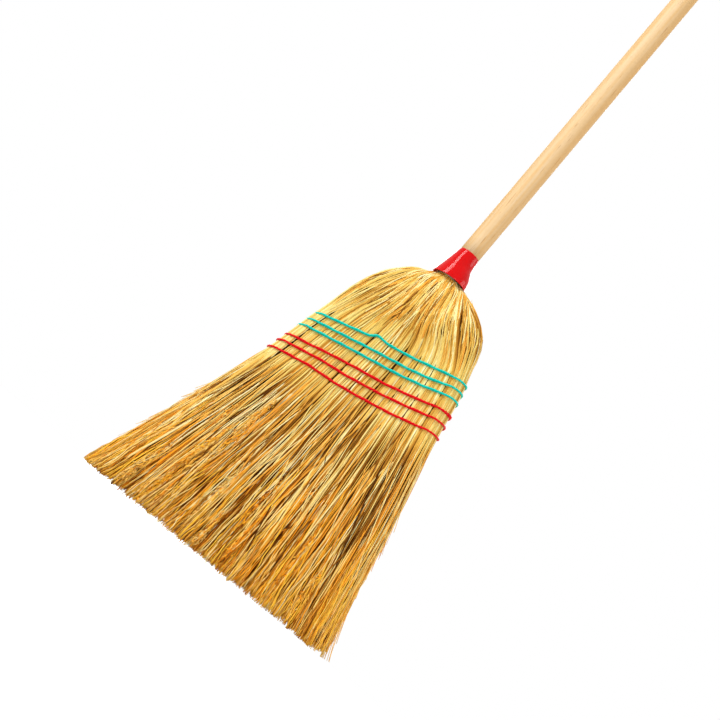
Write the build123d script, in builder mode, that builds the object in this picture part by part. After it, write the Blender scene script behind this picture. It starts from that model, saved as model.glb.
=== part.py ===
from build123d import *
import math
import os

os.makedirs("parts", exist_ok=True)

# All sizes are in millimetres and angles in degrees.
# Z runs up the handle axis, X is the width of the head, the front faces -Y and the sweep edge lies on Z = 0.

# Fits
seat_gap = 0.15
neck_gap = 0.3
twine_gap = 0.3
wire_gap = 0.25
tack_fit = 0.05

# Whole broom: the head runs from the sweep edge up to the collar mouth
overall_length = 1400.0
head_height = 424.5

# Handle
handle_diameter = 25.4
handle_dome = 9.0
collar_seat_diameter = 23.2
collar_seat_length = 8.0
taper_waist_rise = 5.5
taper_waist_diameter = 18.0
taper_length = 78.0
tip_diameter = 6.6

# Collar, with its heights as rises above the mouth
collar_length = 35.5
collar_crease_rise = 21.5
collar_lip_drop = 8.0
collar_mouth_drop = 4.3
collar_mouth_tilt = 3.8
collar_top_diameter = 26.0
collar_crease_diameter = 28.8
collar_lip_diameter = 44.8
collar_throat_diameter = 27.0
collar_lip_bore = 41.8
collar_grip_rise = 21.5

# Bound stalk rings at the neck, with their bottoms as drops below the collar mouth
cover_ring_drop = 5.5
cover_ring_length = 13.0
cover_ring_outer = 14.2
cover_ring_half_angle = 69.2
shoulder_ring_drop = 9.0
shoulder_ring_length = 12.0
shoulder_ring_outer = 11.6
shoulder_ring_half_angle = 80.0
gusset_half_angle = 19.3
core_ring_drop = 28.5
core_ring_length = 16.0
core_ring_outer = 10.6

# Binding wire and its tack
wire_diameter = 1.3
wire_turns = 4
wire_pitch = 1.75
wire_bend = 1.4
wire_anchor_depth = 4.0
wire_start_rise = 1.6
wire_turn_chords = 20
wire_bend_chords = 5
tack_shank_diameter = 1.4
tack_head_diameter = 2.8
tack_head_thickness = 0.5
tack_length = 12.0
tack_point_taper = 20.0

# Broomcorn layout across the head
group_count = 10
strands_per_group = 3
layer_count = 4
fan_share = 0.975
neck_fan_angle = 87.5
core_fan_angle = 80.0
shoulder_groups = 3
gusset_groups = 1
hole_gap = 2.5
strand_fill = 0.8
strand_swell_limit = 1.7
neck_strand = 0.45
strand_root = 1.0
hollow_share = 0.35

# Head levels, as drops below the collar mouth, and the sweep edge
dome_drop = 13.5
dome_half_width = 43.0
dome_half_depth = 22.0
dome_hollow = 8.0
dome_slant = 6.0
dome_dip = 9.0
shoulder_drop = 33.5
shoulder_half_width = 67.0
shoulder_half_depth = 25.0
shoulder_hollow = 7.0
shoulder_slant = 9.0
shoulder_dip = 16.0
core_drop = 52.5
core_half_width = 64.0
core_half_depth = 23.0
core_hollow = 6.0
rows_top_drop = 103.5
rows_top_half_width = 92.0
rows_bottom_drop = 182.5
rows_bottom_half_width = 108.5
rows_half_depth = 18.6
row_slant = 10.0
sweep_half_width = 176.0
sweep_half_depth = 23.0
sweep_lean = -15.0
sweep_sway = 4.0

# Sewn rows, with the first of each colour as a drop below the collar mouth
teal_first_drop = 109.2
teal_pitch = 11.6
red_first_drop = 149.7
red_pitch = 13.1
rows_per_colour = 3
band_diameter = 2.4
band_corner_chords = 4
thread_diameter = 1.4
thread_tail = 6.0
thread_corner = 1.2
twine_sides = 4

# Heights that follow from the head
collar_top_height = head_height + collar_length
taper_top_height = collar_top_height - collar_seat_length
taper_waist_height = head_height + taper_waist_rise
tip_height = taper_waist_height - taper_length
cover_ring_bottom = head_height - cover_ring_drop
cover_ring_top = cover_ring_bottom + cover_ring_length
shoulder_ring_bottom = head_height - shoulder_ring_drop
shoulder_ring_top = shoulder_ring_bottom + shoulder_ring_length
core_ring_bottom = head_height - core_ring_drop
core_ring_top = core_ring_bottom + core_ring_length
rows_top_height = head_height - rows_top_drop
rows_bottom_height = head_height - rows_bottom_drop
wire_start_height = cover_ring_bottom + wire_start_rise

# Values that follow from the sizes above
handle_radius = handle_diameter / 2
seat_radius = collar_seat_diameter / 2
waist_radius = taper_waist_diameter / 2
tip_radius = tip_diameter / 2
group_step = 2.0 / group_count
row_group_width = fan_share * group_step * rows_top_half_width
gap_share = hole_gap / row_group_width
column_step = group_step * (1 - gap_share) / strands_per_group
wire_radius = cover_ring_outer + wire_gap + wire_diameter / 2
shoulder_ring_inner = waist_radius + neck_gap
cover_ring_inner = shoulder_ring_outer + neck_gap

# A level holds height, half width, half depth, hollow round the handle, slant, dip, lean and sway
dome_level = (
    head_height - dome_drop,
    dome_half_width,
    dome_half_depth,
    dome_hollow,
    dome_slant,
    dome_dip,
    0.0,
    0.0,
)
shoulder_level = (
    head_height - shoulder_drop,
    shoulder_half_width,
    shoulder_half_depth,
    shoulder_hollow,
    shoulder_slant,
    shoulder_dip,
    0.0,
    0.0,
)
core_level = (
    head_height - core_drop,
    core_half_width,
    core_half_depth,
    core_hollow,
    row_slant,
    0.0,
    0.0,
    0.0,
)
rows_top_level = (rows_top_height, rows_top_half_width, rows_half_depth, 0.0, row_slant, 0.0, 0.0, 0.0)
rows_bottom_level = (
    rows_bottom_height,
    rows_bottom_half_width,
    rows_half_depth,
    0.0,
    row_slant,
    0.0,
    0.0,
    0.0,
)
sweep_level = (0.0, sweep_half_width, sweep_half_depth, 0.0, 0.0, 0.0, sweep_lean, sweep_sway)

outer_levels = [dome_level, shoulder_level, rows_top_level, rows_bottom_level, sweep_level]
core_levels = [core_level, rows_top_level, rows_bottom_level, sweep_level]


def handle_radius_at(height):
    """Radius of the long taper at a height."""
    share = (height - tip_height) / (taper_waist_height - tip_height)
    return tip_radius + share * (waist_radius - tip_radius)


def half_depth_at(x, half_width, half_depth):
    """Half depth of a flat-sided section with round ends, at a distance from its middle."""
    past = max(abs(x) - (half_width - half_depth), 0.0)
    return math.sqrt(max(half_depth**2 - past**2, 0.0))


def column_share(group, column):
    """Place of a strand across the head, from -1 at the left edge to 1 at the right."""
    across = gap_share / 2 + (column + 0.5) * (1 - gap_share) / strands_per_group
    return -1 + (group + across) * group_step


def level_place(share, layer, side, level):
    """Centre of one strand at one level, and the width and depth that it has room for."""
    height, half_width, half_depth, hollow, slant, dip, lean, sway = level
    x = fan_share * share * half_width
    width = strand_fill * fan_share * column_step * half_width
    reach = half_depth_at(abs(x) + width / 2, half_width, half_depth)
    inner = min(hollow, hollow_share * reach)
    step = (reach - inner) / layer_count
    y = side * (inner + (layer + 0.5) * step)
    z = height + math.tan(math.radians(slant)) * x - dip * (1 - share**2)
    sideways = lean + sway * (-1) ** layer
    return (x + sideways, y, z), width, strand_fill * step


def neck_place(angle_share, side, fan_angle, radius):
    """Point of one strand on its bound ring, seen from above."""
    angle = math.radians(side * (90 - fan_angle * angle_share))
    return radius * math.cos(angle), radius * math.sin(angle)


def strand(share, layer, side, neck, ring_bottom, levels):
    """One three-sided strand of steady shape, flat face outwards, from inside its ring to the sweep edge."""
    row_width, row_depth = level_place(share, layer, side, rows_top_level)[1:]
    neck_scale = neck_strand / max(row_width, row_depth)
    places = [((*neck, ring_bottom + strand_root), neck_scale), ((*neck, ring_bottom), neck_scale)]
    for level in levels:
        centre, width, depth = level_place(share, layer, side, level)
        places.append((centre, min(width / row_width, depth / row_depth, strand_swell_limit)))
    rings = []
    for (x, y, z), scale in places:
        half_width = scale * row_width / 2
        half_depth = scale * side * row_depth / 2
        rings.append(
            [
                (x - half_width, y + half_depth, z),
                (x + half_width, y + half_depth, z),
                (x, y - half_depth, z),
            ]
        )
    faces = [Face(Wire.make_polygon(rings[0])), Face(Wire.make_polygon(rings[-1]))]
    for upper, lower in zip(rings, rings[1:]):
        for near, far in ((0, 1), (1, 2), (2, 0)):
            faces.append(Face(Wire.make_polygon([upper[near], upper[far], lower[far], lower[near]])))
    return Solid(Shell(faces))


def outer_strands(groups, layers, sides, ring_bottom):
    """Strands of the covers and shoulders."""
    made = []
    ring_step = (cover_ring_outer - shoulder_ring_inner) / layer_count
    for group in groups:
        for column in range(strands_per_group):
            share = column_share(group, column)
            for layer in layers:
                radius = shoulder_ring_inner + (layer + 0.5) * ring_step
                for side in sides:
                    neck = neck_place(share, side, neck_fan_angle, radius)
                    made.append(strand(share, layer, side, neck, ring_bottom, outer_levels))
    return made


def core_strands(groups, layers):
    """Strands of the core bundle round the handle tip."""
    made = []
    core_share = 1 - shoulder_groups * group_step
    core_inner = handle_radius_at(core_ring_bottom) + neck_gap
    ring_step = (core_ring_outer - core_inner) / len(layers)
    for group in groups:
        for column in range(strands_per_group):
            share = column_share(group, column)
            for layer in layers:
                radius = core_inner + (layer + 0.5) * ring_step
                for side in (-1, 1):
                    neck = neck_place(share / core_share, side, core_fan_angle, radius)
                    made.append(strand(share, layer, side, neck, core_ring_bottom, core_levels))
    return made


def ring_sector(inner, outer, bottom, top, middle_angle, half_angle):
    """Slice of bound stalks round the handle."""
    start = math.radians(middle_angle - half_angle)
    plane = Plane(
        origin=(0, 0, 0),
        x_dir=(math.cos(start), math.sin(start), 0),
        z_dir=(math.sin(start), -math.cos(start), 0),
    )
    with BuildPart() as made:
        with BuildSketch(plane):
            with Locations(((inner + outer) / 2, (bottom + top) / 2)):
                Rectangle(outer - inner, top - bottom)
        revolve(axis=Axis.Z, revolution_arc=2 * half_angle)
    return made.part.solid()


# Binding wire: out of its anchor hole in the handle, round a bend, then up the neck in close turns
bend_angle = math.acos(-wire_bend / (wire_radius - wire_bend))
bend_start = (wire_radius - wire_bend) * math.sin(bend_angle)
anchor_end = handle_radius_at(wire_start_height) - wire_anchor_depth


def wire_point(turn):
    """Point on the wire's centre line after a number of turns."""
    angle = bend_angle + 2 * math.pi * turn
    height = wire_start_height + wire_pitch * turn
    return Vector(wire_radius * math.cos(angle), wire_radius * math.sin(angle), height)


def bend_point(share):
    """Point on the bend from the anchor hole into the first turn."""
    angle = share * bend_angle
    x = wire_bend * (math.cos(angle) - 1)
    y = bend_start + wire_bend * math.sin(angle)
    return Vector(x, y, wire_start_height)


wire_points = [Vector(0, anchor_end, wire_start_height)]
wire_points += [bend_point(step / wire_bend_chords) for step in range(wire_bend_chords)]
wire_points += [wire_point(step / wire_turn_chords) for step in range(wire_turns * wire_turn_chords + 1)]

with BuildPart() as binding_wire:
    with BuildLine() as wire_route:
        Polyline(*wire_points)
    with BuildSketch(Plane(origin=wire_points[0], z_dir=(0, 1, 0))):
        RegularPolygon(radius=wire_diameter / 2, side_count=twine_sides)
    sweep(path=wire_route.line, transition=Transition.RIGHT)
binding_wire.part.label = "binding_wire"

# The closest that the turns come to each other, measured on points along the centre line
gap_steps = 72
gap_points = [wire_point(step / gap_steps) for step in range(gap_steps * wire_turns + 1)]
self_gap = min(
    (gap_points[i] - gap_points[j]).length - wire_diameter
    for i in range(len(gap_points))
    for j in range(i + gap_steps // 2, len(gap_points))
)
print("least gap between wire turns, mm:", round(self_gap, 3))

# Tack: driven through the back stalks into the handle just above the wire's last end
tack_angle = bend_angle - wire_diameter / wire_radius
tack_height = (
    wire_start_height
    + wire_pitch * wire_turns
    + wire_diameter / 2
    + wire_gap
    + tack_shank_diameter / 2
)
tack_seat = wire_radius + wire_diameter / 2 + wire_gap
tack_direction = (math.cos(tack_angle), math.sin(tack_angle), 0)
tack_plane = Plane(
    origin=(tack_seat * tack_direction[0], tack_seat * tack_direction[1], tack_height),
    z_dir=tack_direction,
)

with BuildPart() as wire_tack:
    with BuildSketch(tack_plane):
        Circle(tack_head_diameter / 2)
    extrude(amount=tack_head_thickness)
    with BuildSketch(tack_plane):
        Circle(tack_shank_diameter / 2)
    extrude(amount=-(tack_length - tack_shank_diameter))
    with BuildSketch(tack_plane.offset(-(tack_length - tack_shank_diameter))):
        Circle(tack_shank_diameter / 2)
    extrude(amount=-tack_shank_diameter, taper=tack_point_taper)
wire_tack.part.label = "wire_tack"

# Handle: turned stick with a domed top, a seat for the collar, a tapered foot, and holes for wire and tack
with BuildPart() as handle:
    with BuildSketch(Plane.XZ):
        with BuildLine():
            Polyline(
                (0, overall_length),
                (0, tip_height),
                (tip_radius, tip_height),
                (waist_radius, taper_waist_height),
                (seat_radius, taper_top_height),
                (seat_radius, collar_top_height),
                (handle_radius, collar_top_height),
                (handle_radius, overall_length - handle_dome),
            )
            RadiusArc(
                (handle_radius, overall_length - handle_dome),
                (handle_radius - handle_dome, overall_length),
                -handle_dome,
            )
            Line((handle_radius - handle_dome, overall_length), (0, overall_length))
        make_face()
    revolve(axis=Axis.Z)
    with BuildSketch(tack_plane):
        Circle(tack_shank_diameter / 2 + tack_fit)
    extrude(amount=-(tack_length + tack_shank_diameter), mode=Mode.SUBTRACT)
    with BuildSketch(Plane(origin=(0, anchor_end - wire_gap, wire_start_height), z_dir=(0, 1, 0))):
        Circle(wire_diameter / 2 + wire_gap)
    extrude(amount=wire_radius, mode=Mode.SUBTRACT)
handle.part.label = "handle"

# Collar: flared cone, hollow over the wire, its mouth trimmed to the slope of the shoulders
collar_bore = seat_radius + seat_gap
mouth_tilt = math.radians(collar_mouth_tilt)
mouth_plane = Plane(
    origin=(0, 0, head_height - collar_mouth_drop),
    x_dir=(math.cos(mouth_tilt), 0, math.sin(mouth_tilt)),
    z_dir=(-math.sin(mouth_tilt), 0, math.cos(mouth_tilt)),
)
with BuildPart() as collar:
    with BuildSketch(Plane.XZ):
        with BuildLine():
            Polyline(
                (collar_bore, collar_top_height),
                (collar_top_diameter / 2, collar_top_height),
                (collar_crease_diameter / 2, head_height + collar_crease_rise),
                (collar_lip_diameter / 2, head_height - collar_lip_drop),
                (collar_lip_bore / 2, head_height - collar_lip_drop),
                (collar_throat_diameter / 2, head_height + collar_grip_rise),
                (collar_bore, head_height + collar_grip_rise),
                close=True,
            )
        make_face()
    revolve(axis=Axis.Z)
    split(bisect_by=mouth_plane, keep=Keep.TOP)
collar.part.label = "collar"

# Broomcorn bundles: strands fused to the ring of bound stalks that they grow out of
both_sides = (-1, 1)
inner_layers = range(0, layer_count // 2)
cover_layers = range(layer_count // 2, layer_count)
core_groups = range(shoulder_groups, group_count - shoulder_groups)
cover_groups = range(gusset_groups, group_count - gusset_groups)

with BuildPart() as core_broomcorn:
    with BuildSketch(Plane.XZ):
        with BuildLine():
            Polyline(
                (handle_radius_at(core_ring_bottom) + neck_gap, core_ring_bottom),
                (core_ring_outer, core_ring_bottom),
                (core_ring_outer, core_ring_top),
                (handle_radius_at(core_ring_top) + neck_gap, core_ring_top),
                close=True,
            )
        make_face()
    revolve(axis=Axis.Z)
    add(core_strands(core_groups, inner_layers), clean=False)
core_broomcorn.part.label = "core_broomcorn"


def shoulder(middle_angle, groups, gusset):
    """Side bundle, with a gusset that fills the neck between the front and back covers."""
    strands = outer_strands(groups, inner_layers, both_sides, shoulder_ring_bottom)
    strands += outer_strands(gusset, cover_layers, both_sides, shoulder_ring_bottom)
    with BuildPart() as made:
        for outer, half_angle in (
            (shoulder_ring_outer, shoulder_ring_half_angle),
            (cover_ring_outer, gusset_half_angle),
        ):
            add(
                ring_sector(
                    shoulder_ring_inner,
                    outer,
                    shoulder_ring_bottom,
                    shoulder_ring_top,
                    middle_angle,
                    half_angle,
                )
            )
        add(strands, clean=False)
    return made


left_shoulder_broomcorn = shoulder(180, range(0, shoulder_groups), range(0, gusset_groups))
left_shoulder_broomcorn.part.label = "left_shoulder_broomcorn"

right_shoulder_broomcorn = shoulder(
    0,
    range(group_count - shoulder_groups, group_count),
    range(group_count - gusset_groups, group_count),
)
right_shoulder_broomcorn.part.label = "right_shoulder_broomcorn"


def cover_ring(middle_angle):
    """Bound stalks of one cover."""
    return ring_sector(
        cover_ring_inner,
        cover_ring_outer,
        cover_ring_bottom,
        cover_ring_top,
        middle_angle,
        cover_ring_half_angle,
    )


with BuildPart() as front_cover_broomcorn:
    add(cover_ring(270))
    add(outer_strands(cover_groups, cover_layers, (-1,), cover_ring_bottom), clean=False)
front_cover_broomcorn.part.label = "front_cover_broomcorn"

with BuildPart() as back_cover_broomcorn:
    add(cover_ring(90))
    with BuildSketch(tack_plane):
        Circle(tack_shank_diameter / 2 + wire_gap)
    extrude(amount=-(tack_seat - shoulder_ring_outer), mode=Mode.SUBTRACT)
    with BuildSketch(Plane(origin=(0, shoulder_ring_outer, wire_start_height), z_dir=(0, 1, 0))):
        Circle(wire_diameter / 2 + wire_gap)
    extrude(amount=wire_radius, mode=Mode.SUBTRACT)
    add(outer_strands(cover_groups, cover_layers, (1,), cover_ring_bottom), clean=False)
back_cover_broomcorn.part.label = "back_cover_broomcorn"


def row_plane(height):
    """Slanted plane of one sewn row."""
    slant = math.radians(row_slant)
    return Plane(
        origin=(0, 0, height),
        x_dir=(math.cos(slant), 0, math.sin(slant)),
        z_dir=(-math.sin(slant), 0, math.cos(slant)),
    )


def row_half_width(height):
    """Half width of the head at a sewn row, along the slant."""
    share = (rows_top_height - height) / (rows_top_height - rows_bottom_height)
    flat = rows_top_half_width + share * (rows_bottom_half_width - rows_top_half_width)
    return flat / math.cos(math.radians(row_slant))


def twine_band(height):
    """Twine laid once round the head, straight over the faces and bent round the edges."""
    plane = row_plane(height)
    half_depth = rows_half_depth + twine_gap + band_diameter / 2
    straight = row_half_width(height) - rows_half_depth
    last_column = fan_share * (1 - group_step * gap_share / 2 - column_step * (1 - strand_fill) / 2)
    edge = last_column * row_half_width(height) + twine_gap + band_diameter / 2
    corner_angle = math.pi / 2 - math.acos((edge - straight) / half_depth)
    chord_angle = corner_angle / (band_corner_chords - 0.5)
    bend_radius = half_depth / math.cos(chord_angle / 2)
    corner = []
    for chord in range(band_corner_chords):
        angle = (chord + 0.5) * chord_angle
        corner.append((straight + bend_radius * math.sin(angle), bend_radius * math.cos(angle)))
    right_end = [(x, -y) for x, y in corner] + corner[::-1]
    left_end = [(-x, -y) for x, y in right_end]
    with BuildPart() as made:
        with BuildLine(plane) as route:
            Polyline((0, -half_depth), *right_end, *left_end, close=True)
        with BuildSketch(Plane(origin=plane.from_local_coords((0, -half_depth, 0)), z_dir=plane.x_dir)):
            RegularPolygon(radius=band_diameter / 2, side_count=twine_sides)
        sweep(path=route.line, transition=Transition.RIGHT)
    return made.part


def sewing_thread(height):
    """Thread that runs from hole to hole, over the front and the back in turn, just under its band."""
    drop = band_diameter / 2 + twine_gap + thread_diameter / 2
    thread_height = height - drop / math.cos(math.radians(row_slant))
    plane = row_plane(thread_height)
    face = rows_half_depth + twine_gap + thread_diameter / 2
    reach = fan_share * row_half_width(thread_height)
    holes = [reach * (-1 + hole * group_step) for hole in range(1, group_count)]
    side = 1
    points = [(holes[0] - thread_tail, side * face)]
    for hole in holes:
        points.append((hole - thread_corner, side * face))
        points.append((hole, side * (face - thread_corner)))
        side = -side
        points.append((hole, side * (face - thread_corner)))
        points.append((hole + thread_corner, side * face))
    points.append((holes[-1] + thread_tail, side * face))
    with BuildPart() as made:
        with BuildLine(plane) as route:
            Polyline(*points)
        with BuildSketch(Plane(origin=plane.from_local_coords((*points[0], 0)), z_dir=plane.x_dir)):
            RegularPolygon(radius=thread_diameter / 2, side_count=twine_sides)
        sweep(path=route.line, transition=Transition.RIGHT)
    return made.part


sewn_rows = []
for colour, first_drop, pitch in (
    ("teal", teal_first_drop, teal_pitch),
    ("red", red_first_drop, red_pitch),
):
    for row in range(rows_per_colour):
        height = head_height - first_drop - row * pitch
        band = twine_band(height)
        band.label = f"{colour}_band_{row + 1}"
        thread = sewing_thread(height)
        thread.label = f"{colour}_sewing_{row + 1}"
        sewn_rows += [band, thread]

for piece in [
    handle.part,
    collar.part,
    binding_wire.part,
    wire_tack.part,
    core_broomcorn.part,
    left_shoulder_broomcorn.part,
    right_shoulder_broomcorn.part,
    front_cover_broomcorn.part,
    back_cover_broomcorn.part,
    *sewn_rows,
]:
    export_step(piece, f"parts/{piece.label}.step")
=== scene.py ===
import math
from collections import namedtuple

import bpy
import numpy as np
from mathutils import Matrix, Vector


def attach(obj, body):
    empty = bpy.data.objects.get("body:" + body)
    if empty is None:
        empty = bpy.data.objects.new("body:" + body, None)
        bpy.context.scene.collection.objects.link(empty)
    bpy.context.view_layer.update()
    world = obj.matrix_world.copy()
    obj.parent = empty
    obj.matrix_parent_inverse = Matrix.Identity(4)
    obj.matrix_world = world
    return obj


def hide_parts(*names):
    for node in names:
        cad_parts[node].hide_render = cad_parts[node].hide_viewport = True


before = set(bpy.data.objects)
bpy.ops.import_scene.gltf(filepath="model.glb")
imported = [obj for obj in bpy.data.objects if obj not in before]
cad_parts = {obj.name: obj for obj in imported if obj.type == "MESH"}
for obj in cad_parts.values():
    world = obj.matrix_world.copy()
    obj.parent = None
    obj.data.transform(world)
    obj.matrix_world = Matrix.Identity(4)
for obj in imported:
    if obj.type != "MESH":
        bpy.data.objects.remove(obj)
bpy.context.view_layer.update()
SEED = 11
rng = np.random.default_rng(SEED)

# Shapes are worked out in millimetres, in the shared frame, and scaled to metres as meshes are made
MM = 0.001

# Camera at the photograph's viewing angle: the broom stands upright and the camera is rolled
CAMERA_PLACE = (0.3854, -1.4860, 0.0051)
CAMERA_RIGHT = (0.76665, 0.08876, 0.63590)
CAMERA_UP = (-0.58787, -0.30121, 0.75079)
FOCAL_PIXELS = 1386.3
FRAME_PIXELS = 720.0
SENSOR_WIDTH = 36.0

# Head: the bound neck, then levels from the collar lip down to the sweep edge
NECK_TOP = 429.0
NECK_HEIGHT = 420.5
NECK_INNER = 9.4
NECK_OUTER = 14.0
NECK_TOP_SHARE = 0.97
NECK_FAN_ANGLE = 87.5
Level = namedtuple("Level", "height half_width half_depth slant dip lean")
LIP = Level(418.0, 21.5, 17.0, 4.5, 5.0, 0.0)
DOME = Level(410.0, 41.0, 21.5, 4.0, 9.0, 0.0)
SHOULDER = Level(388.3, 67.3, 25.0, 6.7, 16.0, 1.0)
ROWS_TOP = Level(321.0, 94.6, 17.7, 10.0, 0.0, 0.4)
ROWS_BOTTOM = Level(242.0, 112.6, 17.7, 10.0, 0.0, -2.3)
FAN = Level(121.0, 146.0, 21.0, 5.0, 0.0, -7.4)
SWEEP = Level(0.0, 177.0, 23.0, 0.0, 0.0, -14.8)
LEVELS = (LIP, DOME, SHOULDER, ROWS_TOP, ROWS_BOTTOM, FAN, SWEEP)
# Share by which fibres still lie round an ellipse at a level, as they do at the neck
ROUNDNESS = {LIP: 1.0, DOME: 0.5}
# Share of each level's width that the fibres' middle lines take up
WIDTH_SHARE = 0.975
# Share of the way from a fibre's place at the rows to its place at the tip, at the fan level
FAN_TIP_SHARE = 0.45

# Length run along a fibre at the two neck heights and at each level
ROWS_TOP_RUN = 140.0
ROWS_BOTTOM_RUN = 220.0
SWEEP_RUN = 465.0
KNOTS = np.array([0.0, 7.0, 16.0, 42.0, 70.0, ROWS_TOP_RUN, ROWS_BOTTOM_RUN, 342.0, SWEEP_RUN])
# Run at which the strands spread freely in the fan
FREE_RUN = 420

# Sewn rows: height of the top row and spacing for each colour, and slits at the stitch holes
TOP_ROWS = {"teal": (315.3, 11.6), "red": (274.8, 13.1)}
ROWS_PER_COLOUR = 3
ROW_HEIGHTS = {
    colour: [top - spacing * row for row in range(ROWS_PER_COLOUR)]
    for colour, (top, spacing) in TOP_ROWS.items()
}
ROW_SLOPE = math.tan(math.radians(ROWS_TOP.slant))
GROUP_COUNT = 10
SLIT_HALF_WIDTH = 1.15
SLIT_REACH = 3.0
SLIT_LENGTH = 5.0
SLIT_SHUT = 0.12
# Depth, as a share from the middle to the surface, under which a layer is an inner one
INNER_DEPTH = 0.93


def new_object(name, data):
    """An object in the scene."""
    made = bpy.data.objects.new(name, data)
    bpy.context.scene.collection.objects.link(made)
    return made


def mesh_object(name, points, quads, caps, values=None):
    """A smooth piece from points in millimetres, four-sided faces and end caps."""
    mesh = bpy.data.meshes.new(name)
    corners = np.concatenate([quads.ravel(), caps.ravel()]).astype(np.int32)
    sizes = np.concatenate([np.full(len(quads), 4), np.full(len(caps), caps.shape[1])])
    starts = np.concatenate([[0], np.cumsum(sizes)[:-1]]).astype(np.int32)
    mesh.vertices.add(len(points))
    mesh.vertices.foreach_set("co", (points * MM).astype(np.float32).ravel())
    mesh.loops.add(len(corners))
    mesh.loops.foreach_set("vertex_index", corners)
    mesh.polygons.add(len(sizes))
    mesh.polygons.foreach_set("loop_start", starts)
    mesh.polygons.foreach_set("use_smooth", np.ones(len(sizes), bool))
    mesh.update(calc_edges=True)
    if values is not None:
        made = mesh.attributes.new("straw", "FLOAT_VECTOR", "POINT")
        made.data.foreach_set("vector", values.astype(np.float32).ravel())
    return new_object(name, mesh)


def dress(piece, material, node):
    """Gives a piece its material and the place of a CAD node."""
    piece.data.materials.append(material)
    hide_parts(node)
    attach(piece, "root")


def unit(vectors):
    return vectors / np.linalg.norm(vectors, axis=-1, keepdims=True)


def smooth_step(low, high, value):
    """0 below low, 1 above high, smooth between."""
    t = np.clip((value - low) / (high - low), 0.0, 1.0)
    return t * t * (3 - 2 * t)


def read_profile(profile, place):
    """Values between those that a profile gives for some places."""
    return np.interp(place, list(profile), list(profile.values()))


def tube_faces(count, steps, sides):
    """Side faces and end caps of closed tubes whose points are in order."""
    index = np.arange(count * steps * sides).reshape(count, steps, sides)
    beside = np.roll(index, -1, axis=2)
    quads = np.stack([index[:, :-1], index[:, 1:], beside[:, 1:], beside[:, :-1]], -1)
    caps = np.concatenate([index[:, 0], index[:, -1, ::-1]])
    fans = [np.stack([caps[:, 0], caps[:, k], caps[:, k + 1]], -1) for k in range(1, sides - 1)]
    return quads.reshape(-1, 4), np.concatenate(fans)


def sideways(paths, facing):
    """Directions across and outwards along paths that face one way."""
    ahead = unit(np.gradient(paths, axis=1))
    across = unit(np.cross(ahead, facing))
    return across, np.cross(across, ahead)


def fibres(paths, facing, widths, depths, values, sides):
    """Points, side faces, end caps and material values of closed fibres along paths."""
    across, outward = sideways(paths, facing)
    turn = 2 * math.pi * (np.arange(sides) + 0.5) / sides
    wide = (widths[..., None] * np.cos(turn))[..., None]
    deep = (depths[..., None] * np.sin(turn))[..., None]
    points = paths[:, :, None] + across[:, :, None] * wide + outward[:, :, None] * deep
    quads, caps = tube_faces(*points.shape[:3])
    return points.reshape(-1, 3), quads, caps, np.repeat(values.reshape(-1, 3), sides, axis=0)


def joined(groups):
    """Groups of fibres as one."""
    points, quads, caps, values = zip(*groups)
    first = np.cumsum([0] + [len(group) for group in points])
    quads, caps = ([faces + number for faces, number in zip(kind, first)] for kind in (quads, caps))
    return [np.concatenate(part) for part in (points, quads, caps, values)]


# Groups of fibres by the bundle that they grow in and their kind
BUNDLES = {}
# Limits of the covers and the core, as shares across the head and from its middle to its surface
COVER_SHARE = 0.8
CORE_SHARE = 0.4
CORE_DEPTH = 0.5


def face_of(angle):
    """-1 for fibres on the front and 1 for those on the back."""
    return np.where(np.sin(angle) < 0, -1.0, 1.0)


def bundle_of(share, angle, depth):
    """Name of the bundle that each fibre grows in."""
    names = np.where(share < 0, "left_shoulder_broomcorn", "right_shoulder_broomcorn").astype(object)
    cover = (np.abs(share) < COVER_SHARE) & (depth > CORE_DEPTH)
    names[cover & (face_of(angle) < 0)] = "front_cover_broomcorn"
    names[cover & (face_of(angle) > 0)] = "back_cover_broomcorn"
    names[(np.abs(share) < CORE_SHARE) & (depth <= CORE_DEPTH)] = "core_broomcorn"
    return names


def lay(kind, place, paths, facing, widths, depths, values, sides=4):
    """Adds fibres of one kind to the bundles that grow at their place (share, angle, depth)."""
    names = bundle_of(*place)
    for name in sorted(set(names)):
        chosen = names == name
        parts = (part[chosen] for part in (paths, facing, widths, depths, values))
        BUNDLES.setdefault((name, kind), []).append(fibres(*parts, sides))


def around_section(place, half_width=ROWS_TOP.half_width):
    """Skeleton place and normal angle, a share of the way round the sewn part from the back's left."""
    flat = 2 * (half_width - ROWS_TOP.half_depth)
    bend = math.pi * ROWS_TOP.half_depth
    corners = np.cumsum([0.0, flat, bend, flat, bend])
    length = np.mod(place, 1.0) * corners[-1]
    c = np.interp(length, corners, [-1, 1, 1, -1, -1])
    angle = np.interp(length, corners, math.pi * np.array([0.5, 0.5, -0.5, -0.5, -1.5]))
    return c, angle


def row_share(c, angle, depth):
    """Place across the head at the rows, from -1 at the left edge to 1 at the right."""
    x = c * (ROWS_TOP.half_width - ROWS_TOP.half_depth) + depth * ROWS_TOP.half_depth * np.cos(angle)
    return np.clip(x / ROWS_TOP.half_width, -1, 1)


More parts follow.
